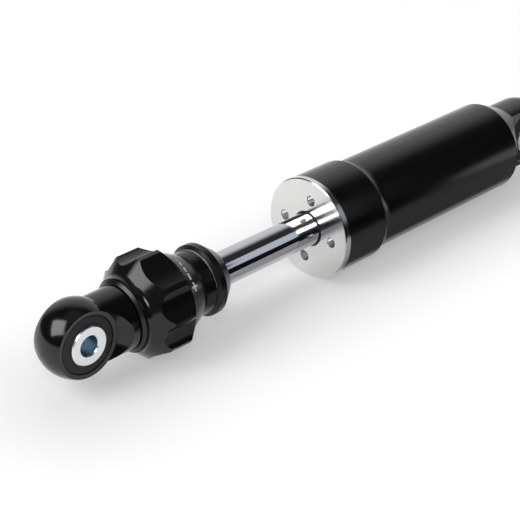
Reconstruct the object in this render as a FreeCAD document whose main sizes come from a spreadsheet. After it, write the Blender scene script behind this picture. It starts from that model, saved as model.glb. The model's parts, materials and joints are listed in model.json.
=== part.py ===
import FreeCAD, Part
import math
import os
import Sketcher
from types import SimpleNamespace

# Adjustable gas damper: two rubber bushed eyes, a chromed rod with a rebound adjuster
# knob beside the rod eye, and a tube closed by a screwed seal head and an eye cap.
# Frame: origin in the middle of the body eye's bore, +X along the damper from the rod
# eye to the body eye, +Y along both eye bores, +Z up. Millimetres, rod fully out.

SIZES = [
    # Overall
    ("eye_to_eye", 332.0, "bore centre to bore centre with the rod fully out"),
    ("head_face_from_rod_eye", 155.3, "rod eye centre to the seal head's outer face"),
    ("stroke", 66.0, "travel of the rod"),
    # Fits
    ("running_gap", 0.05, "radial clearance of parts that slide or turn"),
    ("seat_gap", 0.02, "radial clearance of parts that are fixed together"),
    ("axial_gap", 0.3, "end clearance between parts that move past each other"),
    ("band_end_gap", 0.1, "end clearance of a band in its groove"),
    ("edge_break", 0.5, "chamfer on turned edges"),
    # Eyes, the same at both ends
    ("ball_radius", 19.7, "round end of an eye"),
    ("eye_half_width", 9.4, "middle of the eye to its flat"),
    ("eye_wall", 4.45, "wall of the eye round the bush"),
    ("mouth_depth", 0.45, "sloped mouth of the eye's bore, along the bore"),
    ("mouth_step", 1.75, "sloped mouth of the eye's bore, radial"),
    ("bush_half_length", 9.0, "middle of the bush to its end face"),
    ("bush_edge", 0.8, "chamfer on the rubber's outer edge"),
    ("bush_wall", 5.05, "rubber between eye and sleeve"),
    ("sleeve_bore_radius", 5.05, "sleeve bore, for a 10 mm bolt"),
    ("sleeve_half_length", 10.4, "middle of the sleeve to its end face"),
    ("sleeve_bore_edge", 0.6, "chamfer at the mouths of the sleeve bore"),
    # Rod eye
    ("spot_margin", 0.14, "round flats of the rod eye beyond the ball's own circle"),
    ("spot_ramp_angle", 58.0, "slope from those flats up to the neck, degrees"),
    ("neck_step", 4.0, "neck beyond the stem"),
    ("neck_length", 26.4, "eye centre to the end of the neck"),
    ("neck_edge", 0.9, "chamfer at the end of the neck"),
    ("stem_wall", 4.5, "wall of the stem that carries the knob"),
    ("stem_end", 75.0, "eye centre to the end of the stem"),
    ("rod_shoulder", 1.0, "step of the rod at its threaded end"),
    ("socket_start", 31.0, "eye centre to the bottom of the socket"),
    ("rod_start", 54.0, "eye centre to the rod's end in the socket"),
    # Thrust ring that keeps the knob on its stem
    ("ring_lip", 1.9, "thrust ring beyond the neck"),
    ("ring_thickness", 2.6, "thrust ring, along the axis"),
    ("ring_edge", 1.3, "chamfer on the thrust ring"),
    # Adjuster knob
    ("ring_recess", 0.6, "depth of the recess for the thrust ring in the knob"),
    ("knob_front_lip", 0.8, "front of the knob beyond the thrust ring"),
    ("knob_flare_length", 3.1, "hollow curve at the front of the knob, along the axis"),
    ("knob_flare_rise", 1.2, "hollow curve at the front of the knob, radial"),
    ("knob_flare_radius", 4.4, "hollow curve at the front of the knob"),
    ("knob_front_length", 10.0, "hollow curve and cone at the front of the knob, along the axis"),
    ("knob_grip_length", 13.1, "straight part of the ridges"),
    ("knob_back_length", 3.5, "slope behind the ridges, along the axis"),
    ("ridge_rise", 3.9, "ridges beyond the dial"),
    ("dial_rise", 6.1, "large end of the dial cone beyond the hub"),
    ("dial_length", 12.7, "dial cone, along the axis"),
    ("hub_wall", 4.4, "wall of the hub behind the dial"),
    ("flute_groups", 3, "groups of one wide and two narrow flutes"),
    ("wide_flute_angle", 64.35, "middle of a wide flute, from the -Y side upwards, degrees"),
    ("wide_flute_depth", 2.6, "wide flute, in the middle"),
    ("wide_flute_curve", 55.0, "hollow curve of a wide flute"),
    ("narrow_flute_offset", 42.5, "wide flute to the narrow one beside it, degrees"),
    ("narrow_flute_depth", 3.6, "narrow flute, in the middle"),
    ("narrow_flute_curve", 12.0, "hollow curve of a narrow flute"),
    ("carrier_wall", 5.0, "wall of the threaded carrier in the knob"),
    ("chamber_depth", 16.6, "depth of the threaded chamber"),
    ("click_count", 12, "detent dimples"),
    ("dimple_radius", 1.9, "detent dimple, curvature"),
    ("dimple_depth", 0.4, "detent dimple, depth"),
    # Adjuster inside the knob and the rod
    ("carrier_start", 34.0, "eye centre to the near end of the carrier"),
    ("carrier_length", 7.0, "carrier, along the axis"),
    ("carrier_back_travel", 1.5, "carrier travel towards the rod eye"),
    ("carrier_forward_travel", 3.0, "carrier travel towards the piston"),
    ("pin_radius", 2.0, "cross pin through carrier and pushrod"),
    ("pushrod_head_radius", 6.0, "head of the pushrod"),
    ("pushrod_radius", 3.2, "shaft of the pushrod"),
    ("needle_radius", 2.6, "metering needle"),
    ("needle_length", 30.0, "metering needle with its taper"),
    ("needle_taper", 10.0, "tapered end of the needle"),
    ("needle_tip_radius", 0.8, "tip of the needle"),
    ("orifice_radius", 1.6, "bleed hole at the end of the rod"),
    ("orifice_length", 6.0, "length of the bleed hole"),
    ("needle_to_orifice", 4.0, "needle tip to the bleed hole with the knob at rest"),
    ("small_o_ring_section", 0.8, "half thickness of the pushrod's ring"),
    # Detent
    ("ball_detent_radius", 1.75, "detent ball"),
    ("detent_hole_depth", 8.0, "depth of the detent hole in the cup"),
    ("spring_wire_radius", 0.3, "detent spring wire"),
    ("spring_turns", 4, "turns of the detent spring"),
    # Bump cup on the rod
    ("cup_wall", 9.9, "bump cup beyond the rod"),
    ("cup_length", 11.7, "bump cup, along the axis"),
    ("cup_front_length", 1.3, "slope at the front of the cup, along the axis"),
    ("cup_front_step", 2.3, "rise of the slope at the front"),
    ("cup_back_length", 7.0, "slope at the back of the cup, along the axis"),
    ("cup_back_step", 5.3, "drop of the slope at the back"),
    ("cup_shoulder", 5.4, "thickness clamped between stem and rod"),
    # Piston rod
    ("rod_radius", 9.0, "chromed rod"),
    ("rod_port_radius", 1.25, "cross hole from the drilling"),
    ("rod_port_from_stack", 6.4, "cross hole to the piston stack"),
    ("stud_step", 3.0, "step of the rod at the piston"),
    ("stud_overhang", 1.5, "rod end beyond the nut"),
    # Piston stack
    ("bumper_wall", 5.0, "top-out bumper, radial"),
    ("bumper_length", 4.0, "top-out bumper, along the axis"),
    ("washer_wall", 9.0, "backing washers, radial"),
    ("stop_washer_length", 2.5, "washer under the bumper"),
    ("shim_thickness", 0.4, "one shim"),
    ("shim_count", 4, "shims on each side of the piston"),
    ("shim_lap", 1.6, "largest shim beyond the oil ports"),
    ("shim_step", 1.8, "each further shim is smaller by this"),
    ("piston_gap", 0.5, "piston body to the tube"),
    ("piston_length", 14.0, "piston, along the axis"),
    ("piston_port_radius", 2.2, "oil ports through the piston"),
    ("piston_port_offset", 9.2, "rod stud to the circle of the oil ports"),
    ("piston_port_count", 6, "oil ports"),
    ("band_length", 8.0, "piston band, along the axis"),
    ("band_thickness", 1.5, "piston band, radial"),
    ("end_washer_length", 2.0, "washer under the nut"),
    ("nut_length", 8.0, "piston nut"),
    ("nut_wall", 4.4, "piston nut, stud to corners"),
    # Seal head
    ("head_overhang", 0.25, "flange of the seal head beyond the collar"),
    ("head_flange", 3.3, "thickness of the flange"),
    ("head_length", 22.8, "face to inner end"),
    ("head_rod_gap", 0.4, "rod clearance in the head"),
    ("pin_hole_radius", 3.0, "spanner holes"),
    ("pin_hole_depth", 5.0, "depth of the spanner holes"),
    ("pin_hole_offset", 7.95, "rod to the circle of the spanner holes"),
    ("pin_hole_count", 4, "spanner holes"),
    ("pin_hole_first_angle", 83.5, "first spanner hole, from the -Y side upwards, degrees"),
    ("head_seal_wall", 4.5, "pockets for wiper and rod seal, radial"),
    ("wiper_mouth", 0.9, "opening for the wiper lip beyond the rod"),
    ("wiper_start", 1.2, "face to the wiper pocket"),
    ("wiper_length", 4.8, "wiper pocket, along the axis"),
    ("wiper_lip", 0.7, "wiper lip at the face beyond the rod"),
    ("wiper_lip_proud", 0.2, "wiper lip beyond the face"),
    ("wiper_tip", 0.45, "thickness of the wiper lip at its tip"),
    ("rod_seal_start", 7.8, "face to the rod seal pocket"),
    ("rod_seal_length", 5.6, "rod seal, along the axis"),
    ("rod_seal_lip", 1.2, "relief of the rod seal's lips"),
    ("guide_length", 7.0, "guide bush, along the axis"),
    ("guide_wall", 2.0, "guide bush, radial"),
    ("head_o_ring_start", 16.6, "face to the groove of the sealing ring"),
    # Sealing rings in the tube
    ("o_ring_section", 1.0, "half thickness of a sealing ring"),
    ("o_ring_groove", 2.4, "width of a sealing ring's groove"),
    # Tube
    ("collar_step", 2.3, "collar at the seal head beyond the tube"),
    ("collar_wall", 3.3, "wall of the collar outside the thread"),
    ("collar_length", 27.5, "collar, along the axis"),
    ("flare_radius", 9.5, "hollow curve from collar to tube"),
    ("tube_wall", 2.4, "wall of the main tube"),
    ("bore_radius", 23.0, "main tube, bore"),
    ("thread_relief", 0.6, "tube counterbore beyond the seal head"),
    # Eye cap
    ("cap_length", 31.0, "eye centre to the tube's end"),
    ("shoulder_length", 13.7, "cone between neck and tube"),
    ("spigot_length", 8.4, "part of the cap inside the tube"),
    ("hollow_wall", 8.0, "wall round the gas space in the cap"),
    ("hollow_depth", 12.9, "depth of the gas space"),
    ("flat_ramp_angle", 54.0, "slope at the end of the flats, degrees"),
    ("flat_ramp_radius", 8.0, "hollow curve into the slope"),
    ("cap_o_ring_start", 2.4, "inner end of the spigot to the groove"),
    # Charge plug in the cap's shoulder
    ("plug_from_eye", 24.2, "eye centre to the plug"),
    ("plug_tilt", 40.0, "plug axis, from straight down towards the eye, degrees"),
    ("plug_seat_depth", 1.6, "depth of the spot face"),
    ("plug_radius", 5.6, "head of the plug"),
    ("plug_head_length", 2.4, "head of the plug, along its axis"),
    ("plug_edge", 0.6, "chamfer on the head"),
    ("plug_shank_radius", 3.6, "shank of the plug"),
    ("plug_shank_length", 7.0, "shank of the plug, along its axis"),
    ("plug_socket_radius", 1.75, "hexagon socket over its corners"),
    ("plug_socket_depth", 2.0, "depth of the socket"),
    ("plug_washer_length", 0.8, "sealing washer under the head"),
    ("plug_spot_gap", 0.5, "spot face beyond the head"),
    # Floating piston
    ("float_length", 10.0, "floating piston, along the axis"),
    ("float_gap", 1.0, "floating piston to the rod's end with the rod fully in"),
    ("float_wall", 4.0, "wall around the recess on the gas side"),
    ("float_floor", 5.0, "floor of the floating piston"),
    ("float_band_start", 1.6, "oil side to the band's groove"),
    ("float_band_length", 2.6, "band, along the axis"),
    ("float_band_thickness", 1.2, "band, radial"),
    ("float_ring_start", 6.0, "oil side to the sealing ring's groove"),
]


class Size:
    """A length or number: its formula over the sheet's cells, with its present value."""

    def __init__(self, formula, value):
        self.formula = formula
        self.value = float(value)

    def __add__(self, other):
        other = as_size(other)
        return Size(f"({self.formula} + {other.formula})", self.value + other.value)

    def __sub__(self, other):
        other = as_size(other)
        return Size(f"({self.formula} - {other.formula})", self.value - other.value)

    def __rsub__(self, other):
        return as_size(other) - self

    def __mul__(self, other):
        other = as_size(other)
        return Size(f"({self.formula} * {other.formula})", self.value * other.value)

    def __truediv__(self, other):
        other = as_size(other)
        return Size(f"({self.formula} / {other.formula})", self.value / other.value)

    def __neg__(self):
        return as_size(0) - self

    __radd__ = __add__
    __rmul__ = __mul__


def as_size(number):
    """A plain number as a Size."""
    return number if isinstance(number, Size) else Size(str(number), number)


def root(size):
    """Square root of a Size."""
    return Size(f"sqrt({size.formula})", math.sqrt(size.value))


def sine(angle):
    """Sine of a Size in degrees."""
    return Size(f"sin({angle.formula} * 1 deg)", math.sin(math.radians(angle.value)))


def cosine(angle):
    """Cosine of a Size in degrees."""
    return Size(f"cos({angle.formula} * 1 deg)", math.cos(math.radians(angle.value)))


def leg(long_side, short_side):
    """Third side of a right triangle."""
    return root(long_side * long_side - short_side * short_side)


doc = FreeCAD.newDocument("shock_absorber")
sheet = doc.addObject("Spreadsheet::Sheet", "Sizes")
for row, (name, value, note) in enumerate(SIZES, start=1):
    sheet.set(f"A{row}", name)
    sheet.set(f"B{row}", str(value))
    sheet.setAlias(f"B{row}", name)
    sheet.set(f"C{row}", note)
doc.recompute()
d = SimpleNamespace(**{name: Size(f"Sizes.{name}", value) for name, value, note in SIZES})

# Radii that follow from the named sizes: eyes, then from the rod outwards, then from the bore
d.bush_radius = d.ball_radius - d.eye_wall
d.sleeve_radius = d.bush_radius - d.bush_wall
d.spot_face_radius = leg(d.ball_radius, d.eye_half_width) + d.spot_margin
d.socket_radius = d.rod_radius - d.rod_shoulder
d.stem_radius = d.socket_radius + d.stem_wall
d.neck_radius = d.stem_radius + d.neck_step
d.ring_radius = d.neck_radius + d.ring_lip
d.knob_front_radius = d.ring_radius + d.knob_front_lip
d.chamber_radius = d.stem_radius + d.carrier_wall
d.hub_radius = d.stem_radius + d.hub_wall
d.dial_radius = d.hub_radius + d.dial_rise
d.knob_radius = d.dial_radius + d.ridge_rise
d.click_ring_radius = d.stem_radius + d.hub_wall / 2
d.cup_radius = d.rod_radius + d.cup_wall
d.cup_back_radius = d.cup_radius - d.cup_back_step
d.rod_bore_radius = d.pushrod_radius + d.running_gap
d.piston_stud_radius = d.rod_radius - d.stud_step
d.bumper_radius = d.rod_radius + d.bumper_wall
d.washer_radius = d.piston_stud_radius + d.washer_wall
d.piston_port_circle = d.piston_stud_radius + d.piston_port_offset
d.shim_radius = d.piston_port_circle + d.piston_port_radius + d.shim_lap
d.nut_radius = d.piston_stud_radius + d.nut_wall
d.head_clear_radius = d.rod_radius + d.head_rod_gap
d.head_seal_radius = d.rod_radius + d.head_seal_wall
d.wiper_mouth_radius = d.rod_radius + d.wiper_mouth
d.wiper_lip_radius = d.rod_radius + d.wiper_lip
d.guide_radius = d.rod_radius + d.guide_wall
d.pin_hole_circle = d.rod_radius + d.pin_hole_offset
d.piston_radius = d.bore_radius - d.piston_gap
d.tube_radius = d.bore_radius + d.tube_wall
d.collar_radius = d.tube_radius + d.collar_step
d.head_radius = d.collar_radius + d.head_overhang
d.head_body_radius = d.collar_radius - d.collar_wall
d.hollow_radius = d.bore_radius - d.hollow_wall

X_AXIS = FreeCAD.Vector(1, 0, 0)
Y_AXIS = FreeCAD.Vector(0, 1, 0)
Z_AXIS = FreeCAD.Vector(0, 0, 1)
ALONG_X = FreeCAD.Rotation(Y_AXIS, 90)
ALONG_Y = FreeCAD.Rotation(X_AXIS, -90)
ALONG_Z = FreeCAD.Rotation()
ZERO = as_size(0)
pieces = []


def keep(piece, label):
    """Name a finished sub-part and put it on the list of those to write."""
    piece.Label = label
    pieces.append(piece)
    return piece


def place(thing, x=ZERO, y=ZERO, z=ZERO, rotation=ALONG_Z):
    """Give an object its rotation, and a position bound to the sheet."""
    position = FreeCAD.Vector(*(as_size(value).value for value in (x, y, z)))
    thing.Placement = FreeCAD.Placement(position, rotation)
    for axis, value in (("x", x), ("y", y), ("z", z)):
        thing.setExpression(f"Placement.Base.{axis}", as_size(value).formula)
    return thing


def bind(thing, **properties):
    """Bind properties of an object to formulas over the sheet."""
    for name, value in properties.items():
        thing.setExpression(name, as_size(value).formula)
    return thing


def arc_between(start, end, radius, turn):
    """Arc from start to end: turn is +1 for anticlockwise travel and -1 for clockwise."""
    middle = (start + end) * 0.5
    chord = end - start
    height = math.sqrt(max(radius ** 2 - (chord.Length / 2) ** 2, 0.0))
    sideways = FreeCAD.Vector(-chord.y, chord.x, 0).normalize()
    centre = middle + sideways * height * turn
    first, last = (start, end) if turn > 0 else (end, start)
    angles = [math.atan2(point.y - centre.y, point.x - centre.x) for point in (first, last)]
    return Part.ArcOfCircle(Part.Circle(centre, Z_AXIS, radius), *angles)


def draw(sketch, outline):
    """Closed outline with each corner bound to the sheet.

    A corner is (x, y), or (x, y, radius, turn) where an arc leads to the next corner.
    """
    corners = [FreeCAD.Vector(as_size(c[0]).value, as_size(c[1]).value, 0) for c in outline]
    count = len(outline)
    heads = []
    tails = []
    for index, corner in enumerate(outline):
        start = corners[index]
        end = corners[(index + 1) % count]
        if len(corner) == 2:
            sketch.addGeometry(Part.LineSegment(start, end), False)
            heads.append(1)
            tails.append(2)
        else:
            radius, turn = corner[2:]
            sketch.addGeometry(arc_between(start, end, as_size(radius).value, turn), False)
            heads.append(1 if turn > 0 else 2)
            tails.append(2 if turn > 0 else 1)
            limit = sketch.addConstraint(Sketcher.Constraint("Radius", index, as_size(radius).value))
            sketch.setExpression(f"Constraints[{limit}]", as_size(radius).formula)
    for index in range(count):
        following = (index + 1) % count
        joint = Sketcher.Constraint("Coincident", index, tails[index], following, heads[following])
        sketch.addConstraint(joint)
    for index, corner in enumerate(outline):
        for kind, value in (("DistanceX", corner[0]), ("DistanceY", corner[1])):
            size = as_size(value)
            limit = Sketcher.Constraint(kind, -1, 1, index, heads[index], size.value)
            number = sketch.addConstraint(limit)
            sketch.setExpression(f"Constraints[{number}]", size.formula)


def sketch_in(body, name, plane):
    """New sketch on one of a body's own origin planes."""
    sketch = body.newObject("Sketcher::SketchObject", name)
    support = [feature for feature in body.Origin.OriginFeatures if feature.Role == plane][0]
    sketch.AttachmentSupport = (support, [""])
    sketch.MapMode = "FlatFace"
    return sketch


def turned(name, x, outline):
    """Body turned about the damper's axis: the outline is (distance along X, radius)."""
    body = doc.addObject("PartDesign::Body", name)
    sketch = sketch_in(body, name + "_profile", "XZ_Plane")
    draw(sketch, outline)
    turning = body.newObject("PartDesign::Revolution", name + "_turning")
    turning.Profile = sketch
    turning.ReferenceAxis = (sketch, ["H_Axis"])
    turning.Angle = 360.0
    return place(body, x)


def ring(name, x, inner, outer, length):
    """Plain turned ring."""
    return turned(name, x, [(0, inner), (0, outer), (length, outer), (length, inner)])


def cylinder(name, radius, length, x=ZERO, y=ZERO, z=ZERO, rotation=ALONG_X):
    """Cylinder from a point along an axis, used as a cutter or as a pin."""
    tool = doc.addObject("Part::Cylinder", name)
    bind(tool, Radius=radius, Height=length)
    return place(tool, x, y, z, rotation)


def o_ring(name, x, outer, section):
    """Round sealing ring about the damper's axis that reaches the outer radius."""
    seal = doc.addObject("Part::Torus", name)
    bind(seal, Radius1=outer - section, Radius2=section)
    return place(seal, x, rotation=ALONG_X)


def cut(name, base, tools):
    """Base with each tool cut away."""
    for number, tool in enumerate(tools, start=1):
        result = doc.addObject("Part::Cut", f"{name}_cut{number}")
        result.Base = base
        result.Tool = tool
        base = result
    return base


def around(count):
    """Angles of evenly spaced copies, in degrees."""
    number = round(count.value)
    return [360.0 / number * index for index in range(number)]


def on_circle(name, radius, length, x, circle, count, first_angle=ZERO):
    """Cutters along X on a circle, at angles from the -Y side upwards."""
    tools = []
    for index, angle in enumerate(around(count)):
        direction = first_angle + angle
        y = -circle * cosine(direction)
        z = circle * sine(direction)
        tools.append(cylinder(f"{name}{index + 1}", radius, length, x, y, z))
    return tools


# Stations along the damper that several parts share
rod_eye_x = -d.eye_to_eye
neck_end_x = rod_eye_x + d.neck_length
ring_end_x = neck_end_x + d.ring_thickness
knob_x = ring_end_x + d.axial_gap - d.ring_recess
stem_end_x = rod_eye_x + d.stem_end
head_face_x = rod_eye_x + d.head_face_from_rod_eye
tube_mouth_x = head_face_x + d.head_flange
head_end_x = head_face_x + d.head_length
tube_end_x = -d.cap_length
spigot_x = tube_end_x - d.spigot_length
bumper_x = head_end_x + d.axial_gap
stack_x = bumper_x + d.bumper_length
shims_length = d.shim_thickness * d.shim_count
compression_shims_x = stack_x + d.stop_washer_length
piston_x = compression_shims_x + shims_length
rebound_shims_x = piston_x + d.piston_length
end_washer_x = rebound_shims_x + shims_length
nut_x = end_washer_x + d.end_washer_length
rod_end_x = nut_x + d.nut_length + d.stud_overhang
carrier_x = rod_eye_x + d.carrier_start
pin_x = carrier_x + d.carrier_length / 2
carrier_travel = d.carrier_back_travel + d.carrier_forward_travel


def eye_bush(label, x):
    """Rubber bush moulded into an eye, with chamfered rims."""
    outer = d.bush_radius - d.seat_gap
    inner = d.sleeve_radius + d.running_gap
    length = 2 * d.bush_half_length
    bush = turned(label, x, [
        (0, inner),
        (0, outer - d.bush_edge),
        (d.bush_edge, outer),
        (length - d.bush_edge, outer),
        (length, outer - d.bush_edge),
        (length, inner),
    ])
    place(bush, x, -d.bush_half_length, rotation=FreeCAD.Rotation(Z_AXIS, 90))
    keep(bush, label)


def eye_sleeve(label, x):
    """Steel sleeve in a bush, for the mounting bolt."""
    bore = d.sleeve_bore_radius
    edge = d.sleeve_bore_edge
    length = 2 * d.sleeve_half_length
    sleeve = turned(label, x, [
        (edge, bore),
        (0, bore + edge),
        (0, d.sleeve_radius - d.edge_break),
        (d.edge_break, d.sleeve_radius),
        (length - d.edge_break, d.sleeve_radius),
        (length, d.sleeve_radius - d.edge_break),
        (length, bore + edge),
        (length - edge, bore),
    ])
    place(sleeve, x, -d.sleeve_half_length, rotation=FreeCAD.Rotation(Z_AXIS, 90))
    keep(sleeve, label)


def eye_bore(name, x):
    """Cutters for the bore that takes a bush and for its sloped mouths."""
    reach = 2 * d.ball_radius
    tools = [cylinder(name, d.bush_radius, 2 * reach, x, -reach, rotation=ALONG_Y)]
    floor = d.eye_half_width - d.mouth_depth
    beyond = d.seat_gap / d.mouth_depth + 1
    for side, start, turn in (("near", -floor, 90), ("far", floor, -90)):
        mouth = doc.addObject("Part::Cone", f"{name}_{side}_mouth")
        bind(mouth, Radius1=d.bush_radius, Radius2=d.bush_radius + d.mouth_step * beyond,
             Height=d.mouth_depth * beyond)
        tools.append(place(mouth, x, start, rotation=FreeCAD.Rotation(X_AXIS, turn)))
    return tools


def rod_eye():
    """Ball eye with its neck and the hollow stem that carries the knob."""
    centre = d.ball_radius
    crease = centre + leg(d.ball_radius, d.neck_radius)
    neck_end = centre + d.neck_length
    blank = turned("rod_eye_blank", rod_eye_x - d.ball_radius, [
        (0, 0, d.ball_radius, -1),
        (crease, d.neck_radius),
        (neck_end - d.neck_edge, d.neck_radius),
        (neck_end, d.neck_radius - d.neck_edge),
        (neck_end, d.stem_radius),
        (centre + d.stem_end, d.stem_radius),
        (centre + d.stem_end, d.socket_radius),
        (centre + d.socket_start, d.socket_radius),
        (centre + d.socket_start, 0),
    ])
    reach = d.ball_radius
    tools = eye_bore("rod_eye_bore", rod_eye_x)
    opening = reach * cosine(d.spot_ramp_angle) / sine(d.spot_ramp_angle)
    for side, start, turn in (("near", -d.eye_half_width, 90), ("far", d.eye_half_width, -90)):
        spot = doc.addObject("Part::Cone", f"rod_eye_{side}_flat")
        bind(spot, Radius1=d.spot_face_radius, Radius2=d.spot_face_radius + opening, Height=reach)
        tools.append(place(spot, rod_eye_x, start, rotation=FreeCAD.Rotation(X_AXIS, turn)))
    slot = doc.addObject("Part::Box", "pin_slot")
    slot_start = pin_x - d.pin_radius - d.carrier_back_travel - d.axial_gap
    slot_width = 2 * (d.pin_radius + d.running_gap)
    bind(slot, Length=2 * (d.pin_radius + d.axial_gap) + carrier_travel, Width=slot_width,
         Height=2 * d.ball_radius)
    place(slot, slot_start, -slot_width / 2, -d.ball_radius)
    tools.append(slot)
    keep(cut("rod_eye", blank, tools), "rod_eye")


def thrust_ring():
    """Ring between neck and knob that keeps the knob on its stem."""
    keep(turned("thrust_ring", neck_end_x, [
        (0, d.stem_radius + d.seat_gap),
        (0, d.ring_radius - d.ring_edge),
        (d.ring_edge, d.ring_radius),
        (d.ring_thickness, d.ring_radius),
        (d.ring_thickness, d.stem_radius + d.seat_gap),
    ]), "thrust_ring")


def adjuster_knob():
    """Fluted knob with a flared front, a sloped back and the dial cone on its hub."""
    front_end = d.knob_front_length
    grip_end = front_end + d.knob_grip_length
    back_end = grip_end + d.knob_back_length
    dial_end = back_end + d.dial_length
    hub_end = stem_end_x - d.axial_gap * 2 - knob_x
    bore = d.stem_radius + d.running_gap
    chamber = d.chamber_radius + d.running_gap
    recess = d.ring_radius + d.running_gap
    blank = turned("knob_blank", knob_x, [
        (d.ring_recess, chamber),
        (d.ring_recess, recess),
        (0, recess),
        (0, d.knob_front_radius, d.knob_flare_radius, 1),
        (d.knob_flare_length, d.knob_front_radius + d.knob_flare_rise),
        (front_end, d.knob_radius),
        (grip_end, d.knob_radius),
        (back_end, d.dial_radius),
        (dial_end, d.hub_radius),
        (hub_end, d.hub_radius),
        (hub_end, bore),
        (d.chamber_depth, bore),
        (d.chamber_depth, chamber),
    ])
    tools = []
    for name, angle in (("wide", ZERO), ("upper", d.narrow_flute_offset), ("lower", -d.narrow_flute_offset)):
        wide = name == "wide"
        depth = d.wide_flute_depth if wide else d.narrow_flute_depth
        curve = d.wide_flute_curve if wide else d.narrow_flute_curve
        tools += on_circle(name + "_flute", curve, back_end, knob_x, d.knob_radius - depth + curve,
                           d.flute_groups, d.wide_flute_angle + angle)
    for index, angle in enumerate(around(d.click_count)):
        dimple = doc.addObject("Part::Sphere", f"dimple{index + 1}")
        bind(dimple, Radius=d.dimple_radius)
        direction = as_size(angle)
        place(dimple, knob_x + hub_end + d.dimple_radius - d.dimple_depth,
              d.click_ring_radius * cosine(direction), d.click_ring_radius * sine(direction))
        tools.append(dimple)
    keep(cut("knob", blank, tools), "adjuster_knob")


def adjuster_carrier():
    """Threaded ring that the knob drives along the stem, with the cross pin it carries."""
    bore = d.stem_radius + d.running_gap
    blank = ring("carrier_blank", carrier_x, bore, d.chamber_radius, d.carrier_length)
    hole = cylinder("carrier_hole", d.pin_radius + d.seat_gap, 4 * d.chamber_radius,
                    pin_x, ZERO, -2 * d.chamber_radius, ALONG_Z)
    keep(cut("carrier", blank, [hole]), "adjuster_carrier")
    half = d.chamber_radius - d.edge_break
    keep(cylinder("pin", d.pin_radius, 2 * half, pin_x, ZERO, -half, ALONG_Z), "carrier_pin")


def adjuster_pushrod():
    """Rod through the hollow piston rod, with a groove for its sealing ring."""
    needle_x = needle_start()
    length = needle_x - carrier_x
    groove = length - d.o_ring_groove * 4
    groove_end = groove + 2 * d.small_o_ring_section + d.band_end_gap
    floor = d.rod_bore_radius - 2 * d.small_o_ring_section
    blank = turned("pushrod_blank", carrier_x, [
        (0, 0),
        (0, d.pushrod_head_radius - d.edge_break),
        (d.edge_break, d.pushrod_head_radius),
        (d.carrier_length, d.pushrod_head_radius),
        (d.carrier_length, d.pushrod_radius),
        (groove, d.pushrod_radius),
        (groove, floor),
        (groove_end, floor),
        (groove_end, d.pushrod_radius),
        (length, d.pushrod_radius),
        (length, 0),
    ])
    hole = cylinder("pushrod_hole", d.pin_radius + d.seat_gap, 4 * d.pushrod_head_radius,
                    pin_x, ZERO, -2 * d.pushrod_head_radius, ALONG_Z)
    keep(cut("pushrod", blank, [hole]), "adjuster_pushrod")
    seal_x = carrier_x + (groove + groove_end) / 2
    outer = d.rod_bore_radius - d.seat_gap
    keep(o_ring("pushrod_ring", seal_x, outer, d.small_o_ring_section - d.seat_gap),
         "pushrod_o_ring")


def needle_start():
    """Near end of the metering needle, against the pushrod."""
    return rod_end_x - d.orifice_length - d.needle_to_orifice - d.needle_length


def metering_needle():
    """Tapered needle that opens and closes the bleed hole at the rod's end."""
    keep(turned("needle", needle_start(), [
        (0, 0),
        (0, d.needle_radius),
        (d.needle_length - d.needle_taper, d.needle_radius),
        (d.needle_length, d.needle_tip_radius),
        (d.needle_length, 0),
    ]), "metering_needle")


def bump_cup():
    """Stop on the rod behind the knob, clamped by the stem, with the detent's hole."""
    blank = turned("cup_blank", stem_end_x, [
        (0, d.socket_radius + d.seat_gap),
        (0, d.cup_radius - d.cup_front_step),
        (d.cup_front_length, d.cup_radius),
        (d.cup_length - d.cup_back_length, d.cup_radius),
        (d.cup_length, d.cup_back_radius),
        (d.cup_length, d.rod_radius + d.seat_gap),
        (d.cup_shoulder, d.rod_radius + d.seat_gap),
        (d.cup_shoulder, d.socket_radius + d.seat_gap),
    ])
    hole = cylinder("detent_hole", d.ball_detent_radius + d.running_gap, d.detent_hole_depth,
                    stem_end_x, ZERO, d.click_ring_radius)
    keep(cut("cup", blank, [hole]), "bump_cup")


def detent():
    """Spring loaded ball that clicks against the back of the knob's hub."""
    ball_x = stem_end_x - d.axial_gap * 2 + d.ball_detent_radius + d.running_gap
    ball = doc.addObject("Part::Sphere", "detent_sphere")
    bind(ball, Radius=d.ball_detent_radius)
    keep(place(ball, ball_x, ZERO, d.click_ring_radius), "detent_ball")
    coil = doc.addObject("Part::Helix", "spring_path")
    wire = d.spring_wire_radius
    bottom_x = stem_end_x + d.detent_hole_depth - wire - d.seat_gap
    top_x = ball_x + d.ball_detent_radius + wire
    bind(coil, Pitch=(bottom_x - top_x) / d.spring_turns, Height=bottom_x - top_x,
         Radius=d.ball_detent_radius - wire - d.seat_gap)
    section = doc.addObject("Part::Circle", "spring_section")
    bind(section, Radius=wire)
    place(section, d.ball_detent_radius - wire - d.seat_gap, rotation=ALONG_Y)
    spring = doc.addObject("Part::Sweep", "spring")
    spring.Sections = [section]
    spring.Spine = (coil, ["Edge1"])
    spring.Solid = True
    spring.Frenet = True
    keep(place(spring, top_x, ZERO, d.click_ring_radius, ALONG_X), "detent_spring")


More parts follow.
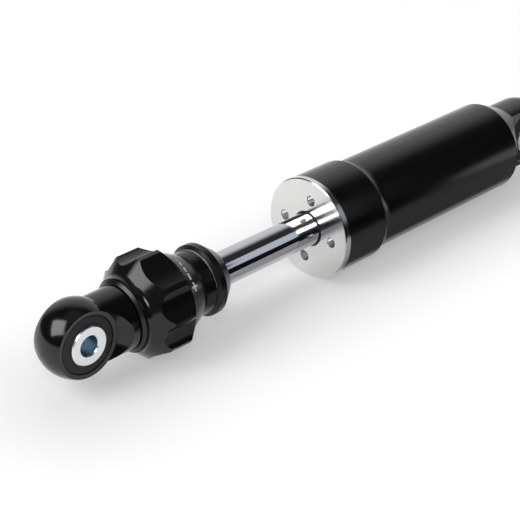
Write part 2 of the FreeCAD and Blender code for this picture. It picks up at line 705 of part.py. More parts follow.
def piston_rod():
    """Hollow chromed rod, stepped for the stem at one end and the piston at the other."""
    start = rod_eye_x + d.rod_start
    shoulder = stem_end_x + d.cup_shoulder - start
    stud = stack_x - start
    length = rod_end_x - start
    thread = d.socket_radius - d.seat_gap
    blank = turned("rod_blank", start, [
        (0, d.rod_bore_radius),
        (0, thread - d.edge_break),
        (d.edge_break, thread),
        (shoulder, thread),
        (shoulder, d.rod_radius),
        (stud, d.rod_radius),
        (stud, d.piston_stud_radius),
        (length - d.edge_break, d.piston_stud_radius),
        (length, d.piston_stud_radius - d.edge_break),
        (length, d.orifice_radius),
        (length - d.orifice_length, d.orifice_radius),
        (length - d.orifice_length, d.rod_bore_radius),
    ])
    port = cylinder("rod_port", d.rod_port_radius, 4 * d.rod_radius,
                    stack_x - d.rod_port_from_stack, ZERO, -2 * d.rod_radius, ALONG_Z)
    keep(cut("rod", blank, [port]), "piston_rod")


def shim_stack(label, x, towards):
    """Separate thin discs, the largest against the piston; towards is +1 or -1 along X."""
    discs = []
    bore = d.piston_stud_radius + d.seat_gap
    for index in range(round(d.shim_count.value)):
        shift = index if towards > 0 else d.shim_count - index - 1
        start = x + d.shim_thickness * shift
        disc = ring(f"{label}_{index + 1}", start, bore, d.shim_radius - d.shim_step * index,
                    d.shim_thickness)
        discs.append(disc)
    stack = doc.addObject("Part::Compound", label + "_stack")
    stack.Links = discs
    keep(stack, label)


def piston_stack():
    """Everything clamped on the rod's stud, from the top-out bumper to the nut."""
    stud = d.piston_stud_radius + d.seat_gap
    keep(ring("bumper", bumper_x, d.rod_radius + d.seat_gap, d.bumper_radius, d.bumper_length),
         "top_out_bumper")
    keep(ring("stop_washer", stack_x, stud, d.washer_radius, d.stop_washer_length),
         "top_out_washer")
    shim_stack("compression_shims", compression_shims_x, -1)
    groove = (d.piston_length - d.band_length) / 2 - d.band_end_gap
    floor = d.bore_radius - d.running_gap - d.band_thickness - d.running_gap
    blank = turned("piston_blank", piston_x, [
        (0, stud),
        (0, d.piston_radius),
        (groove, d.piston_radius),
        (groove, floor),
        (d.piston_length - groove, floor),
        (d.piston_length - groove, d.piston_radius),
        (d.piston_length, d.piston_radius),
        (d.piston_length, stud),
    ])
    ports = on_circle("piston_port", d.piston_port_radius, d.piston_length * 2,
                      piston_x - d.piston_length / 2, d.piston_port_circle, d.piston_port_count)
    keep(cut("piston", blank, ports), "piston")
    keep(ring("band", piston_x + (d.piston_length - d.band_length) / 2, floor + d.running_gap,
              d.bore_radius - d.running_gap, d.band_length), "piston_band")
    shim_stack("rebound_shims", rebound_shims_x, 1)
    keep(ring("end_washer", end_washer_x, stud, d.washer_radius, d.end_washer_length),
         "piston_washer")
    hexagon = doc.addObject("Part::Prism", "nut_blank")
    hexagon.Polygon = 6
    bind(hexagon, Circumradius=d.nut_radius, Height=d.nut_length)
    place(hexagon, nut_x, rotation=ALONG_X)
    hole = cylinder("nut_hole", stud, d.nut_length * 3, nut_x - d.nut_length)
    keep(cut("nut", hexagon, [hole]), "piston_nut")


def seal_head():
    """Screwed head with spanner holes and the pockets for wiper, rod seal and guide."""
    wiper_end = d.wiper_start + d.wiper_length
    seal_end = d.rod_seal_start + d.rod_seal_length
    guide_start = d.head_length - d.guide_length
    groove = d.head_o_ring_start
    groove_end = groove + d.o_ring_groove
    counterbore = d.head_body_radius + d.seat_gap
    floor = counterbore - 2 * d.o_ring_section - d.seat_gap
    blank = turned("head_blank", head_face_x, [
        (0, d.wiper_mouth_radius),
        (0, d.head_radius - d.edge_break),
        (d.edge_break, d.head_radius),
        (d.head_flange, d.head_radius),
        (d.head_flange, d.head_body_radius),
        (groove, d.head_body_radius),
        (groove, floor),
        (groove_end, floor),
        (groove_end, d.head_body_radius),
        (d.head_length, d.head_body_radius),
        (d.head_length, d.guide_radius),
        (guide_start, d.guide_radius),
        (guide_start, d.head_clear_radius),
        (seal_end, d.head_clear_radius),
        (seal_end, d.head_seal_radius),
        (d.rod_seal_start, d.head_seal_radius),
        (d.rod_seal_start, d.head_clear_radius),
        (wiper_end, d.head_clear_radius),
        (wiper_end, d.head_seal_radius),
        (d.wiper_start, d.head_seal_radius),
        (d.wiper_start, d.wiper_mouth_radius),
    ])
    holes = on_circle("pin_hole", d.pin_hole_radius, d.pin_hole_depth * 2,
                      head_face_x - d.pin_hole_depth, d.pin_hole_circle, d.pin_hole_count,
                      d.pin_hole_first_angle)
    keep(cut("head", blank, holes), "seal_head")
    keep(o_ring("head_ring", head_face_x + (groove + groove_end) / 2, counterbore - d.seat_gap,
                d.o_ring_section - d.seat_gap), "seal_head_o_ring")


def rod_seals():
    """Wiper, pressure seal and guide bush that the rod runs through."""
    run = d.rod_radius + d.running_gap
    pocket = d.head_seal_radius - d.seat_gap
    lip = d.wiper_start + d.wiper_lip_proud
    end = lip + d.wiper_length - d.seat_gap
    keep(turned("wiper", head_face_x - d.wiper_lip_proud, [
        (0, run),
        (0, run + d.wiper_tip),
        (d.wiper_lip_proud, d.wiper_lip_radius),
        (lip + d.seat_gap, d.wiper_lip_radius),
        (lip + d.seat_gap, pocket),
        (end, pocket),
        (end, run),
    ]), "rod_wiper")
    relief = d.rod_seal_lip
    length = d.rod_seal_length - 2 * d.seat_gap
    middle = (run + pocket) / 2
    keep(turned("seal", head_face_x + d.rod_seal_start + d.seat_gap, [
        (0, run),
        (0, pocket),
        (length, pocket),
        (length - relief, middle),
        (length, run),
    ]), "rod_seal")
    guide_x = head_end_x - d.guide_length
    keep(ring("guide", guide_x, run, d.guide_radius - d.seat_gap, d.guide_length), "guide_bush")


def body_tube():
    """Tube with the thick collar for the seal head and a hollow curve down to the bore wall."""
    length = tube_end_x - tube_mouth_x
    counterbore = d.head_body_radius + d.seat_gap
    counterbore_end = d.head_length - d.head_flange + d.thread_relief
    drop = d.collar_radius - d.tube_radius
    flare_length = leg(d.flare_radius, d.flare_radius - drop)
    edge = d.edge_break
    keep(turned("tube", tube_mouth_x, [
        (0, counterbore),
        (0, d.collar_radius - edge),
        (edge, d.collar_radius),
        (d.collar_length, d.collar_radius, d.flare_radius, 1),
        (d.collar_length + flare_length, d.tube_radius),
        (length - edge, d.tube_radius),
        (length, d.tube_radius - edge),
        (length, d.bore_radius),
        (counterbore_end, d.bore_radius),
        (counterbore_end, counterbore),
    ]), "body_tube")


def flat_cutter(name):
    """Cutter for one milled flat of the eye cap, with the sloped run-out at its end."""
    rise = d.tube_radius - d.eye_half_width
    slope = d.flat_ramp_angle
    corner = d.cap_length - rise * cosine(slope) / sine(slope)
    tangent = d.flat_ramp_radius * (1 - cosine(slope)) / sine(slope)
    beyond = d.ball_radius
    top = d.tube_radius + rise
    top_x = d.cap_length + rise * cosine(slope) / sine(slope)
    body = doc.addObject("PartDesign::Body", name)
    sketch = sketch_in(body, name + "_profile", "XY_Plane")
    draw(sketch, [
        (-beyond * 2, d.eye_half_width),
        (corner - tangent, d.eye_half_width, d.flat_ramp_radius, 1),
        (corner + tangent * cosine(slope), d.eye_half_width + tangent * sine(slope)),
        (top_x, top),
        (-beyond * 2, top),
    ])
    pad = body.newObject("PartDesign::Pad", name + "_pad")
    pad.Profile = sketch
    pad.Midplane = True
    bind(pad, Length=4 * d.tube_radius)
    return body


def eye_cap():
    """Cap that closes the tube and ends in the body eye: cone, flats and charge plug seat."""
    eye = d.cap_length + d.spigot_length
    spigot = d.bore_radius - d.seat_gap
    floor = d.bore_radius - 2 * d.o_ring_section - d.seat_gap
    groove = d.cap_o_ring_start
    groove_end = groove + d.o_ring_groove
    neck = eye - d.cap_length + d.shoulder_length
    blank = turned("cap_blank", spigot_x, [
        (0, d.hollow_radius),
        (0, spigot),
        (groove, spigot),
        (groove, floor),
        (groove_end, floor),
        (groove_end, spigot),
        (d.spigot_length, spigot),
        (d.spigot_length, d.tube_radius),
        (neck, d.ball_radius),
        (eye, d.ball_radius, d.ball_radius, -1),
        (eye + d.ball_radius, 0),
        (d.hollow_depth, 0),
        (d.hollow_depth, d.hollow_radius),
    ])
    tools = eye_bore("body_eye_bore", ZERO)
    for side, turn in (("far", 180), ("near", 0)):
        cutter = flat_cutter(f"{side}_flat")
        cutter.Placement = FreeCAD.Placement(FreeCAD.Vector(), FreeCAD.Rotation(X_AXIS, turn))
        mirror = doc.addObject("Part::Mirroring", f"{side}_flat_turned")
        mirror.Source = cutter
        mirror.Normal = X_AXIS
        tools.append(mirror)
    spot_radius = d.plug_radius + d.plug_spot_gap
    tools.append(along_plug(cylinder("plug_spot", spot_radius, d.tube_radius), ZERO))
    hole_start = -d.plug_shank_length * 2
    hole = cylinder("plug_hole", d.plug_shank_radius + d.seat_gap, d.plug_shank_length * 2)
    tools.append(along_plug(hole, hole_start))
    keep(cut("cap", blank, tools), "eye_cap")
    keep(o_ring("cap_ring", spigot_x + (groove + groove_end) / 2, d.bore_radius - d.seat_gap,
                d.o_ring_section - d.seat_gap), "eye_cap_o_ring")


def along_plug(thing, distance):
    """Put something that points along its own axis on the charge plug's axis."""
    tilt = d.plug_tilt
    shoulder_end = d.cap_length - d.shoulder_length
    climb = (d.tube_radius - d.ball_radius) / d.shoulder_length
    surface = d.ball_radius + climb * (d.plug_from_eye - shoulder_end)
    out = distance - d.plug_seat_depth
    straight_up = thing.TypeId in ("Part::Cylinder", "Part::Prism")
    swing = 180 - tilt.value if straight_up else 90 - tilt.value
    place(thing, -d.plug_from_eye + out * sine(tilt), ZERO, -surface - out * cosine(tilt),
          FreeCAD.Rotation(Y_AXIS, swing))
    return thing


def charge_plug():
    """Screw that closes the gas space, on a sealing washer."""
    washer = d.plug_washer_length
    shank = d.plug_shank_length
    head = d.plug_head_length
    edge = d.plug_edge
    blank = turned("plug_blank", ZERO, [
        (0, 0),
        (0, d.plug_shank_radius),
        (shank, d.plug_shank_radius),
        (shank, d.plug_radius),
        (shank + head - edge, d.plug_radius),
        (shank + head, d.plug_radius - edge),
        (shank + head, 0),
    ])
    along_plug(blank, washer - shank)
    socket = doc.addObject("Part::Prism", "plug_socket")
    socket.Polygon = 6
    bind(socket, Circumradius=d.plug_socket_radius, Height=d.plug_head_length)
    along_plug(socket, washer + head - d.plug_socket_depth)
    keep(cut("plug", blank, [socket]), "charge_plug")
    seal = ring("plug_seal", ZERO, d.plug_shank_radius + d.seat_gap, d.plug_radius, washer)
    keep(along_plug(seal, ZERO), "charge_plug_washer")


def floating_piston():
    """Piston between oil and gas, with its guide band and sealing ring."""
    bore = d.bore_radius
    displaced = d.stroke * d.rod_radius * d.rod_radius / (bore * bore)
    start = rod_end_x + d.stroke + d.float_gap - displaced
    outer = bore - 2 * d.running_gap
    length = d.float_length
    band_end = d.float_band_start + d.float_band_length
    ring_end = d.float_ring_start + d.o_ring_groove
    band_floor = bore - d.running_gap - d.float_band_thickness - d.seat_gap
    ring_floor = bore - d.running_gap - 2 * d.o_ring_section - d.seat_gap
    keep(turned("float", start, [
        (0, 0),
        (0, outer),
        (d.float_band_start, outer),
        (d.float_band_start, band_floor),
        (band_end, band_floor),
        (band_end, outer),
        (d.float_ring_start, outer),
        (d.float_ring_start, ring_floor),
        (ring_end, ring_floor),
        (ring_end, outer),
        (length, outer),
        (length, outer - d.float_wall),
        (d.float_floor, outer - d.float_wall),
        (d.float_floor, 0),
    ]), "floating_piston")
    gap = d.seat_gap
    keep(ring("float_band", start + d.float_band_start + gap, band_floor + gap,
              bore - d.running_gap, d.float_band_length - 2 * gap), "floating_piston_band")
    middle = start + d.float_ring_start + d.o_ring_groove / 2
    keep(o_ring("float_ring", middle, bore - d.running_gap, d.o_ring_section - gap),
         "floating_piston_o_ring")


rod_eye()
eye_bush("rod_eye_bush", rod_eye_x)
eye_sleeve("rod_eye_sleeve", rod_eye_x)
thrust_ring()
adjuster_knob()
adjuster_carrier()
adjuster_pushrod()
metering_needle()
bump_cup()
detent()
piston_rod()
piston_stack()
seal_head()
rod_seals()
body_tube()
eye_cap()
eye_bush("body_eye_bush", ZERO)
eye_sleeve("body_eye_sleeve", ZERO)
charge_plug()
floating_piston()
doc.recompute()

for thing in doc.Objects:
    if {"Invalid", "Error"} & set(thing.State):
        raise RuntimeError(f"{thing.Label} failed: {thing.State}")
for piece in pieces:
    if piece.Shape.isNull() or not piece.Shape.isValid() or not piece.Shape.Solids:
        raise RuntimeError(f"{piece.Label} has no sound solid")

os.makedirs("parts", exist_ok=True)
for piece in pieces:
    piece.Shape.exportStep(f"parts/{piece.Label}.step")
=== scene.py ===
import json
import math

import bpy
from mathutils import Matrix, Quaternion, Vector


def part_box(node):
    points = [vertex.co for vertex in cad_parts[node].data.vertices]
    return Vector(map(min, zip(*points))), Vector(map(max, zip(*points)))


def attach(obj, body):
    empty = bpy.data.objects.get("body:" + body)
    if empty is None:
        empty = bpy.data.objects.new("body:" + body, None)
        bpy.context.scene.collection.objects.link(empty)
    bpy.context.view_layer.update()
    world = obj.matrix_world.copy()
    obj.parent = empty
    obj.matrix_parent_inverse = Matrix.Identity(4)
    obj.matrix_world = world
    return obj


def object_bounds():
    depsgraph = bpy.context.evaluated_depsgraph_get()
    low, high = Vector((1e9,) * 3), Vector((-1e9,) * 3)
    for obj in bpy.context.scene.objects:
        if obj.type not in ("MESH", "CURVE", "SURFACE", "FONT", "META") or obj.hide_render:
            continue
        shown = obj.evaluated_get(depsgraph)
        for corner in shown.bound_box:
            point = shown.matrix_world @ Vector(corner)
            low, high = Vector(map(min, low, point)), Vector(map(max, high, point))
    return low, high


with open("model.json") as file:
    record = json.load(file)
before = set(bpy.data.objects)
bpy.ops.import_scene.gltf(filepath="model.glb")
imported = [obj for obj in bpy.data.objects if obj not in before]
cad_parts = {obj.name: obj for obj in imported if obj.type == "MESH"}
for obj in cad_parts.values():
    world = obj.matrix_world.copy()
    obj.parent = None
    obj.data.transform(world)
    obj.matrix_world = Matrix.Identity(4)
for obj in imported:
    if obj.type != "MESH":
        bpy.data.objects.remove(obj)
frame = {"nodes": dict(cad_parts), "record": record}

cad_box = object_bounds()
nodes = frame["nodes"]
scene = bpy.context.scene
scene.view_settings.view_transform = "Standard"

BODY_EYE = (0.0, 0.0, 0.0)
ROD_EYE = (-0.332, 0.0, 0.0)
FLOOR_Z = -0.0284


# Node trees


class Shading:
    """A node tree with short ways to add to it."""

    def __init__(self, owner):
        owner.use_nodes = True
        self.tree = owner.node_tree

    def node(self, kind, **inputs):
        """Add a node, with values or links for its inputs."""
        made = self.tree.nodes.new(kind)
        for name, value in inputs.items():
            self.feed(made.inputs[name], value)
        return made

    def feed(self, socket, value):
        """Link an output to a socket, or set the socket to a plain value."""
        if hasattr(value, "is_linked"):
            self.tree.links.new(value, socket)
        else:
            socket.default_value = value

    def operate(self, kind, operation, first, second):
        """Outputs of a node that does one step of arithmetic."""
        made = self.node(kind)
        made.operation = operation
        self.feed(made.inputs[0], first)
        self.feed(made.inputs[1], second)
        return made.outputs

    def math(self, operation, first, second=0.0):
        """Result of one step of arithmetic on numbers."""
        return self.operate("ShaderNodeMath", operation, first, second)[0]

    def vectors(self, operation, first, second):
        """Outputs of one step of arithmetic on vectors."""
        return self.operate("ShaderNodeVectorMath", operation, first, second)

    def spread(self, value, low, high, start=0.0, end=1.0, smooth=False):
        """Map what lies between a start and an end to another range."""
        made = self.node("ShaderNodeMapRange", Value=value)
        if smooth:
            made.interpolation_type = "SMOOTHSTEP"
        made.inputs["From Min"].default_value = start
        made.inputs["From Max"].default_value = end
        made.inputs["To Min"].default_value = low
        made.inputs["To Max"].default_value = high
        return made.outputs["Result"]


class Surface(Shading):
    """A principled material with short ways to add procedural detail to it."""

    MIX_FIRST_COLOUR = 6
    MIX_SECOND_COLOUR = 7
    MIX_COLOUR_RESULT = 2

    def __init__(self, name, colour, metallic, roughness, specular=0.5):
        self.material = bpy.data.materials.new(name)
        super().__init__(self.material)
        self.shader = self.tree.nodes["Principled BSDF"]
        self.shader.inputs["Base Color"].default_value = (*colour, 1)
        self.shader.inputs["Metallic"].default_value = metallic
        self.shader.inputs["Roughness"].default_value = roughness
        self.shader.inputs["Specular IOR Level"].default_value = specular
        self.place = self.node("ShaderNodeTexCoord").outputs["Object"]

    def parts(self, vector):
        """The X, Y and Z of a vector, by name."""
        return self.node("ShaderNodeSeparateXYZ", Vector=vector).outputs

    def length(self, first, second):
        """Distance made by two steps at a right angle."""
        squares = [self.math("MULTIPLY", step, step) for step in (first, second)]
        return self.math("SQRT", self.math("ADD", *squares))

    def away_from(self, value, mark):
        """How far a value is from a mark, on either side."""
        return self.math("ABSOLUTE", self.math("SUBTRACT", value, mark))

    def noise(self, scale, detail=3.0, vector=None):
        """Soft noise between 0 and 1."""
        made = self.node("ShaderNodeTexNoise", Scale=scale, Detail=detail, Vector=vector or self.place)
        return made.outputs["Fac"]

    def lathe(self, along, centre=BODY_EYE):
        """Coordinates that stay the same round an axis: (along it, distance from it, 0)."""
        parts = self.parts(self.vectors("SUBTRACT", self.place, centre)["Vector"])
        across = [parts[name] for name in "XYZ" if name != along]
        return self.node("ShaderNodeCombineXYZ", X=parts[along], Y=self.length(*across)).outputs["Vector"]

    def vary_roughness(self, value, low, high):
        """Let the roughness follow a value."""
        self.feed(self.shader.inputs["Roughness"], self.spread(value, low, high))

    def vary_colour(self, value, dark, light):
        """Let the base colour follow a value."""
        ramp = self.node("ShaderNodeValToRGB", Fac=value)
        ramp.color_ramp.elements[0].color = (*dark, 1)
        ramp.color_ramp.elements[1].color = (*light, 1)
        self.feed(self.shader.inputs["Base Color"], ramp.outputs["Color"])

    def bump(self, value, strength, distance):
        """Let a value raise the surface a little."""
        made = self.node("ShaderNodeBump", Strength=strength, Distance=distance, Height=value)
        self.feed(self.shader.inputs["Normal"], made.outputs["Normal"])

    def tint_where(self, mask, shade):
        """Change the base colour to a shade where a mask is 1."""
        mix = self.node("ShaderNodeMix")
        mix.data_type = "RGBA"
        self.feed(mix.inputs["Factor"], mask)
        base = self.shader.inputs["Base Color"]
        before = base.links[0].from_socket if base.is_linked else base.default_value
        self.feed(mix.inputs[self.MIX_FIRST_COLOUR], before)
        mix.inputs[self.MIX_SECOND_COLOUR].default_value = (*shade, 1)
        self.feed(base, mix.outputs[self.MIX_COLOUR_RESULT])


# Materials


BLUE_CAST = 1.1
DUST_GAIN = 1.7
DULL_GAIN = 0.9
SLEEVE_ZINC = (0.82, 0.84, 0.86)
# Painted shade in the sleeve bores
SLEEVE_BORE_EDGE = 0.00512
SLEEVE_BORE_PAINTED_SHADE = (0.33, 0.45, 0.53)
# Painted highlight on the bump cup's edge
CUP_EDGE_RADIUS = 0.0166
CUP_HIGHLIGHT_WIDTH = 0.0003
CUP_HIGHLIGHT_HEIGHT = 0.012
CUP_HIGHLIGHT_SHADE = (0.36, 0.36, 0.37)
# Painted shade in the seal head's holes
HEAD_HOLE_START = 0.0003
HEAD_HOLE_NEAR = 0.0138
HEAD_HOLE_FAR = 0.0201
HEAD_HOLE_PAINTED_SHADE = (0.68, 0.68, 0.68)


def black_anodised(name, low=0.1, high=0.2, black=0.003, specular=0.5):
    """Black anodised aluminium, rough between low and high, with faint lathe marks under it."""
    surface = Surface(name, (black, black, BLUE_CAST * black), 0.0, low, specular)
    marks = surface.noise(scale=2600.0, detail=2.0, vector=surface.lathe("X"))
    cloud = surface.noise(scale=160.0, detail=4.0)
    mean = surface.math("MULTIPLY", surface.math("ADD", marks, cloud), 0.5)
    surface.vary_roughness(mean, low, high)
    surface.bump(marks, strength=0.02, distance=0.0001)
    return surface


def rubber(name, colour, grain):
    """Moulded rubber with a fine grain and slightly worn, dusty patches."""
    surface = Surface(name, colour, metallic=0.0, roughness=0.7, specular=0.3)
    dusty = tuple(part * DUST_GAIN for part in colour)
    surface.vary_colour(surface.noise(scale=220.0, detail=5.0), colour, dusty)
    surface.vary_roughness(surface.noise(scale=500.0), low=0.55, high=0.8)
    surface.bump(surface.noise(scale=grain, detail=4.0), strength=0.12, distance=0.0002)
    return surface


def bright_metal(name, colour, low, high, marks, relief, along="X", centre=BODY_EYE):
    """Turned metal, rough between low and high, with rings of fine tool marks round an axis."""
    surface = Surface(name, colour, metallic=1.0, roughness=low)
    lathe = surface.lathe(along, centre)
    rings = surface.noise(scale=marks, vector=lathe)
    surface.vary_roughness(surface.noise(scale=marks / 4, detail=2.0, vector=lathe), low, high)
    dull = tuple(part * DULL_GAIN for part in colour)
    surface.vary_colour(surface.noise(scale=90.0, detail=4.0), dull, colour)
    surface.bump(rings, strength=relief, distance=0.0002)
    return surface


def zinc_sleeve(name, centre):
    """Zinc plated sleeve along Y, with painted shade in its bore: the bore is coloured darker and bluish.
    """
    surface = bright_metal(name, SLEEVE_ZINC, low=0.22, high=0.35, marks=2200.0, relief=0.1,
                           along="Y", centre=centre)
    from_axis = surface.parts(surface.lathe("Y", centre))["Y"]
    # Painted shade: the bore is coloured darker and bluish.
    surface.tint_where(surface.math("LESS_THAN", from_axis, SLEEVE_BORE_EDGE), SLEEVE_BORE_PAINTED_SHADE)
    return surface


def paint_cup_edge_highlight(surface, edge_x):
    """Painted highlight: a lighter line on the upper half of the bump cup's edge, where light catches it,
    stronger here and weaker there.
    """
    parts = surface.parts(surface.lathe("X"))
    along = surface.away_from(parts["X"], edge_x)
    across = surface.away_from(parts["Y"], CUP_EDGE_RADIUS)
    upper = surface.spread(surface.parts(surface.place)["Z"], 0.0, 1.0, end=CUP_HIGHLIGHT_HEIGHT)
    highlight_amount = surface.math("MULTIPLY", surface.noise(scale=170.0), upper)
    reach = surface.math("MULTIPLY", highlight_amount, 2 * CUP_HIGHLIGHT_WIDTH)
    mask = surface.math("LESS_THAN", surface.math("MAXIMUM", along, across), reach)
    surface.tint_where(mask, CUP_HIGHLIGHT_SHADE)


def paint_shade_in_holes(surface, face_x):
    """Painted shade: tint what lies behind the seal head's face between two radii, the insides of its
    holes, darker.
    """
    parts = surface.parts(surface.lathe("X"))
    behind = surface.math("GREATER_THAN", parts["X"], face_x + HEAD_HOLE_START)
    outside = surface.math("GREATER_THAN", parts["Y"], HEAD_HOLE_NEAR)
    inside = surface.math("LESS_THAN", parts["Y"], HEAD_HOLE_FAR)
    ring = surface.math("MULTIPLY", outside, inside)
    surface.tint_where(surface.math("MULTIPLY", behind, ring), HEAD_HOLE_PAINTED_SHADE)


def paint(node_name, surface):
    """Give a node of the frame its finished material."""
    mesh = nodes[node_name].data
    mesh.materials.clear()
    mesh.materials.append(surface.material)


FINISH = {
    "black_tube": black_anodised("tube_black", low=0.16, high=0.28),
    "black_eye": black_anodised("eye_black"),
    "black_knob": black_anodised("knob_black", black=0.0058, specular=0.42),
    "black_trim": black_anodised("trim_black", low=0.24, high=0.36),
    "bush_rubber": rubber("bush_rubber", (0.0195, 0.0195, 0.0203), grain=1800.0),
    "seal_rubber": rubber("seal_rubber", (0.012, 0.012, 0.013), grain=2500.0),
    "slide_band": rubber("slide_band", (0.16, 0.12, 0.08), grain=1500.0),
    "chrome_rod": bright_metal("chrome_rod", (0.66, 0.67, 0.71),
                               low=0.05, high=0.09, marks=3000.0, relief=0.015),
    "turned_aluminium": bright_metal("turned_aluminium", (0.8, 0.8, 0.79),
                                     low=0.13, high=0.2, marks=2600.0, relief=0.04),
    "plug_steel": bright_metal("plug_steel", (0.45, 0.46, 0.47),
                               low=0.35, high=0.5, marks=900.0, relief=0.1),
    "inner_steel": bright_metal("inner_steel", (0.6, 0.6, 0.62),
                                low=0.25, high=0.4, marks=1500.0, relief=0.1),
    "inner_aluminium": bright_metal("inner_aluminium", (0.75, 0.76, 0.77),
                                    low=0.25, high=0.4, marks=1500.0, relief=0.1),
    "bearing_bronze": bright_metal("bearing_bronze", (0.6, 0.42, 0.18),
                                   low=0.3, high=0.45, marks=1500.0, relief=0.1),
}
# Painted highlight along the bump cup's edge, and painted shade in the seal head's holes
paint_cup_edge_highlight(FINISH["black_trim"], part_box("bump_cup")[0][0])
paint_shade_in_holes(FINISH["turned_aluminium"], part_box("seal_head")[0][0])
for entry in frame["record"]["subparts"]:
    if entry["material_slot"] in FINISH:
        paint(entry["node"], FINISH[entry["material_slot"]])
paint("body_eye_sleeve", zinc_sleeve("zinc_sleeve_body", BODY_EYE))
paint("rod_eye_sleeve", zinc_sleeve("zinc_sleeve_rod", ROD_EYE))


# Scale on the dial cone: dashes that grow towards a plus sign


CONE_START = 0.0553
CONE_RADIUS = 0.0230
CONE_DROP = 0.0061
CONE_LENGTH = 0.0127
MARK_PROUD = 0.00004
STEM_PROUD = 0.00005
MARK_DEPTH = 0.0001
PLUS_PLACE = 0.0589


def on_cone(along, angle, lift):
    """Point near the dial cone: distance from the rod eye, angle from the -Y side upwards."""
    radius = CONE_RADIUS - (along - CONE_START) * CONE_DROP / CONE_LENGTH + lift
    turn = math.radians(angle)
    return (ROD_EYE[0] + along, -radius * math.cos(turn), radius * math.sin(turn))


def cone_mark(name, along, width, first, last, proud=MARK_PROUD):
    """Thin white bar that follows the cone between two angles, in steps of about a degree."""
    steps = round(last - first)
    low = along - width / 2
    high = along + width / 2
    points = []
    for step in range(steps + 1):
        angle = first + (last - first) * step / steps
        for place, lift in ((low, proud), (high, proud), (high, -MARK_DEPTH), (low, -MARK_DEPTH)):
            points.append(on_cone(place, angle, lift))
    faces = [(3, 2, 1, 0), tuple(4 * steps + corner for corner in (0, 1, 2, 3))]
    for step in range(steps):
        base = 4 * step
        for corner in range(4):
            following = (corner + 1) % 4
            faces.append((base + corner, base + following, base + 4 + following, base + 4 + corner))
    mesh = bpy.data.meshes.new(name)
    mesh.from_pydata(points, [], faces)
    mesh.materials.append(mark_white.material)
    piece = bpy.data.objects.new(name, mesh)
    scene.collection.objects.link(piece)
    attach(piece, "knob")


mark_white = Surface("mark_white", (0.9, 0.9, 0.88), metallic=0.0, roughness=0.5, specular=0.4)
mark_white.vary_roughness(mark_white.noise(scale=900.0), low=0.4, high=0.6)
cone_mark("dial_dash_1", along=0.0586, width=0.0014, first=42.0, last=51.2)
cone_mark("dial_dash_2", along=0.0588, width=0.0013, first=54.1, last=61.0)
cone_mark("dial_dash_3", along=0.0590, width=0.0011, first=64.6, last=70.6)
cone_mark("dial_dash_4", along=0.0590, width=0.0006, first=73.1, last=77.2)
cone_mark("dial_plus_bar", along=PLUS_PLACE, width=0.0010, first=25.5, last=38.0)
cone_mark("dial_plus_stem", along=PLUS_PLACE, width=0.0048, first=30.4, last=33.1, proud=STEM_PROUD)


# Stage


FLOOR_HALF = 6.0
FLOOR_COLOUR = (0.88, 0.88, 0.88)
SHADE_REACH = 0.09
SHADE_INSET = 0.02
GLOW_NEAR = 0.34
GLOW_FAR = 0.92
GLOW_STRENGTH = 1.05
# Cards that only mirror-like surfaces see: painted reflections of a dark object and of shaded floor
DARK_CARD_NEAR = (-0.275, -0.072)
DARK_CARD_FAR = (0.05, -0.155)
DARK_CARD_TOP = 0.022
DARK_CARD_COLOUR = (0.01, 0.01, 0.012)
GREY_CARD_NEAR = (-0.28, -0.075)
GREY_CARD_SIDE = -0.02
GREY_CARD_LIFT = 0.0004
GREY_CARD_COLOUR = (0.6, 0.6, 0.61)
STRIP_TARGET = (-0.21, 0.0, 0.0)
STRIP_SIDE = Vector((0.611, -0.642, 0.46)).normalized()
STRIP_COLOUR = (0.84, 0.9, 1.0)
WHITE = (1.0, 1.0, 1.0)


def paper_sheet(name, corners, surface):
    """Sheet with four corners."""
    mesh = bpy.data.meshes.new(name)
    mesh.from_pydata(corners, [], [(0, 1, 2, 3)])
    mesh.materials.append(surface.material)
    sheet = bpy.data.objects.new(name, mesh)
    scene.collection.objects.link(sheet)
    return sheet


def dull_paper(name, colour):
    """Paper with hardly any gloss."""
    return Surface(name, colour, metallic=0.0, roughness=0.9, specular=0.1)


def floor_paper():
    """Pale paper that looks white, but less so near the object: the glow that whitens it is weaker there,
    a painted shade round the object on top of its real soft shadow.
    """
    surface = dull_paper("floor_paper", FLOOR_COLOUR)
    middle = (cad_box[0][0] + cad_box[1][0]) / 2
    half_length = (cad_box[1][0] - cad_box[0][0]) / 2 - SHADE_INSET
    parts = surface.parts(surface.place)
    past_end = surface.math("SUBTRACT", surface.away_from(parts["X"], middle), half_length)
    distance = surface.length(surface.math("MAXIMUM", past_end, 0.0), parts["Y"])
    # Painted shade: the white glow fades towards the object, for the camera and for reflections.
    glow = surface.spread(distance, GLOW_NEAR, GLOW_FAR, end=SHADE_REACH, smooth=True)
    path = surface.node("ShaderNodeLightPath").outputs
    looked_at = surface.math("MAXIMUM", path["Is Camera Ray"], path["Is Glossy Ray"])
    white = surface.node("ShaderNodeEmission", Strength=GLOW_STRENGTH)
    mix = surface.node("ShaderNodeMixShader", Fac=surface.math("MULTIPLY", looked_at, glow))
    surface.feed(mix.inputs[1], surface.shader.outputs[0])
    surface.feed(mix.inputs[2], white.outputs[0])
    surface.feed(surface.tree.nodes["Material Output"].inputs["Surface"], mix.outputs[0])
    return surface


def plain_floor():
    """Pale seamless floor."""
    signs = ((-1, -1), (1, -1), (1, 1), (-1, 1))
    corners = [(x * FLOOR_HALF, y * FLOOR_HALF, FLOOR_Z) for x, y in signs]
    floor = paper_sheet("floor", corners, floor_paper())


def mirror_card(name, corners, colour):
    """Card beside the object that only mirror-like surfaces see, a painted reflection."""
    card = paper_sheet(name, corners, dull_paper(name + "_paper", colour))
    card.visible_camera = False
    card.visible_diffuse = False
    card.visible_shadow = False


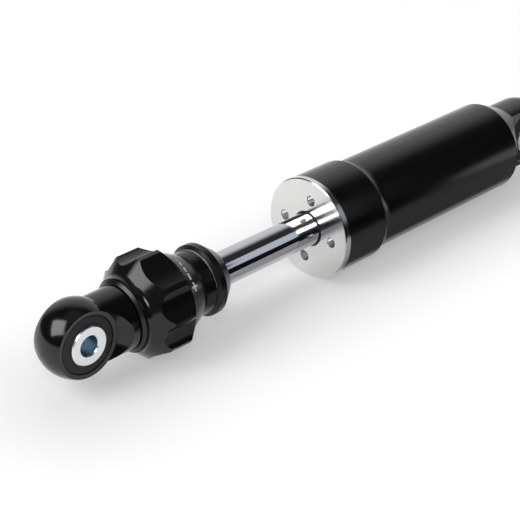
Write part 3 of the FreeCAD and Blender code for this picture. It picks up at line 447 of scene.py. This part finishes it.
def paint_reflection_cards():
    """Painted reflections: an upright dark card on the camera's side, seen in mirror-like surfaces as a
    dark object beside them, and a grey one that lies before the object, seen in them as shaded floor.
    """
    foot = [(*DARK_CARD_NEAR, FLOOR_Z), (*DARK_CARD_FAR, FLOOR_Z)]
    top = [(*DARK_CARD_FAR, DARK_CARD_TOP), (*DARK_CARD_NEAR, DARK_CARD_TOP)]
    mirror_card("painted_dark_reflection_card", foot + top, DARK_CARD_COLOUR)
    outer = [GREY_CARD_NEAR, DARK_CARD_FAR]
    inner = [(DARK_CARD_FAR[0], GREY_CARD_SIDE), (GREY_CARD_NEAR[0], GREY_CARD_SIDE)]
    lying = [(*place, FLOOR_Z + GREY_CARD_LIFT) for place in outer + inner]
    mirror_card("painted_floor_shade_card", lying, GREY_CARD_COLOUR)


def direction(azimuth, height):
    """Unit vector from an azimuth and a height angle, in degrees."""
    turn = math.radians(azimuth)
    lift = math.radians(height)
    return Vector((math.cos(lift) * math.cos(turn), math.cos(lift) * math.sin(turn), math.sin(lift)))


def softbox(name, target, towards, distance, width, height, turn, power, colour=WHITE):
    """Studio light at a distance from a point, facing it and turned about its own aim."""
    data = bpy.data.lights.new(name, "AREA")
    data.shape = "RECTANGLE"
    data.size = width
    data.size_y = height
    data.energy = power
    data.color = colour
    lamp = bpy.data.objects.new(name, data)
    lamp.location = Vector(target) + towards * distance
    facing = towards.to_track_quat("Z", "Y")
    lamp.rotation_euler = (facing @ Quaternion((0, 0, 1), math.radians(turn))).to_euler()
    scene.collection.objects.link(lamp)


class Sky(Shading):
    """Studio surroundings: a dim room with a pale wall behind the object and a pale panel above."""

    def __init__(self):
        scene.world = bpy.data.worlds.new("studio")
        super().__init__(scene.world)
        self.towards = self.node("ShaderNodeTexCoord").outputs["Generated"]

    def patch(self, centre, edge, full, strength):
        """Soft round patch of light about a direction, by the cosine of the angle to it."""
        cosine = self.vectors("DOT_PRODUCT", self.towards, centre)["Value"]
        return self.spread(cosine, 0.0, strength, start=edge, end=full, smooth=True)

    def light(self, patches, dim):
        """Add the patches to a dim level, and show the camera plain white."""
        total = dim
        for patch in patches:
            total = self.math("ADD", patch, total)
        camera_ray = self.node("ShaderNodeLightPath").outputs["Is Camera Ray"]
        background = self.tree.nodes["Background"]
        background.inputs["Color"].default_value = (*WHITE, 1)
        self.feed(background.inputs["Strength"], self.math("MAXIMUM", total, camera_ray))


plain_floor()
sky = Sky()
wall = sky.patch(direction(45, 10), edge=0.57, full=0.9, strength=0.76)
panel = sky.patch(direction(0, 90), edge=0.86, full=0.98, strength=0.2)
sky.light([wall, panel], dim=0.035)
softbox("key", ROD_EYE, direction(160, 43), distance=1.3,
        width=0.88, height=0.88, turn=40.0, power=12.5)
softbox("strip", STRIP_TARGET, STRIP_SIDE, distance=0.6,
        width=0.08, height=0.34, turn=-24.0, power=0.06, colour=STRIP_COLOUR)
softbox("fill", ROD_EYE, direction(-126, 38), distance=1.3,
        width=0.3, height=0.5, turn=0.0, power=5.5)
# Painted reflections of a dark object and of shaded floor
paint_reflection_cards()


# Camera


CAMERA_PLACE = (-0.7145, -0.5135, 0.3954)
CAMERA_AIM = Vector((0.611, 0.624, -0.487))


def photo_camera():
    """Camera at the photo's viewing angle."""
    data = bpy.data.cameras.new("camera")
    data.sensor_width = 36.0
    data.sensor_fit = "HORIZONTAL"
    data.lens = 110.8
    data.clip_start = 0.01
    data.clip_end = 50.0
    camera = bpy.data.objects.new("camera", data)
    camera.location = CAMERA_PLACE
    camera.rotation_euler = CAMERA_AIM.to_track_quat("-Z", "Y").to_euler()
    scene.collection.objects.link(camera)
    scene.camera = camera


photo_camera()
